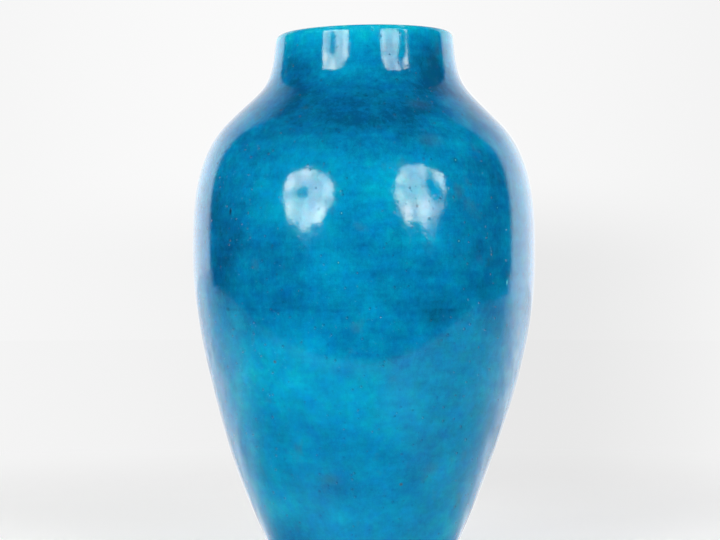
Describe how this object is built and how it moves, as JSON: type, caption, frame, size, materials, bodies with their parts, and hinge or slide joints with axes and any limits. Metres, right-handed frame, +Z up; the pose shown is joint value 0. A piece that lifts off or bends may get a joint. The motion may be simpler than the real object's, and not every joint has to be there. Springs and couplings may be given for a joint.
{
  "type": "ovoid vase",
  "caption": "Tall ovoid vase with a rounded shoulder, short open neck, rolled lip and turned foot ring, in glossy mottled turquoise glaze over pale clay.",
  "frame": {"origin": "centre of the foot, on the plane that the foot ring stands on", "axes": "+Z up along the axis that the vase was turned on; it is round, so +X and +Y are any two directions square to it, with -Y towards the pictured side"},
  "size_m": [0.2032, 0.2032, 0.321],
  "materials": {
    "bare_clay": "fired clay, matt, fine sandy grain",
    "luting_slip": "fired slip, matt",
    "turquoise_glaze": "glossy turquoise glaze, mottled, finely crazed",
    "turquoise_lining": "glossy turquoise glaze, poured and thinner"
  },
  "bodies": {
    "root": {"foot_ring": "bare_clay", "foot_lute": "luting_slip", "lower_section": "bare_clay", "belly_lute": "luting_slip", "upper_section": "bare_clay", "neck_lute": "luting_slip", "neck_collar": "bare_clay", "inner_glaze": "turquoise_lining", "outer_glaze": "turquoise_glaze"}
  },
  "joints": []
}
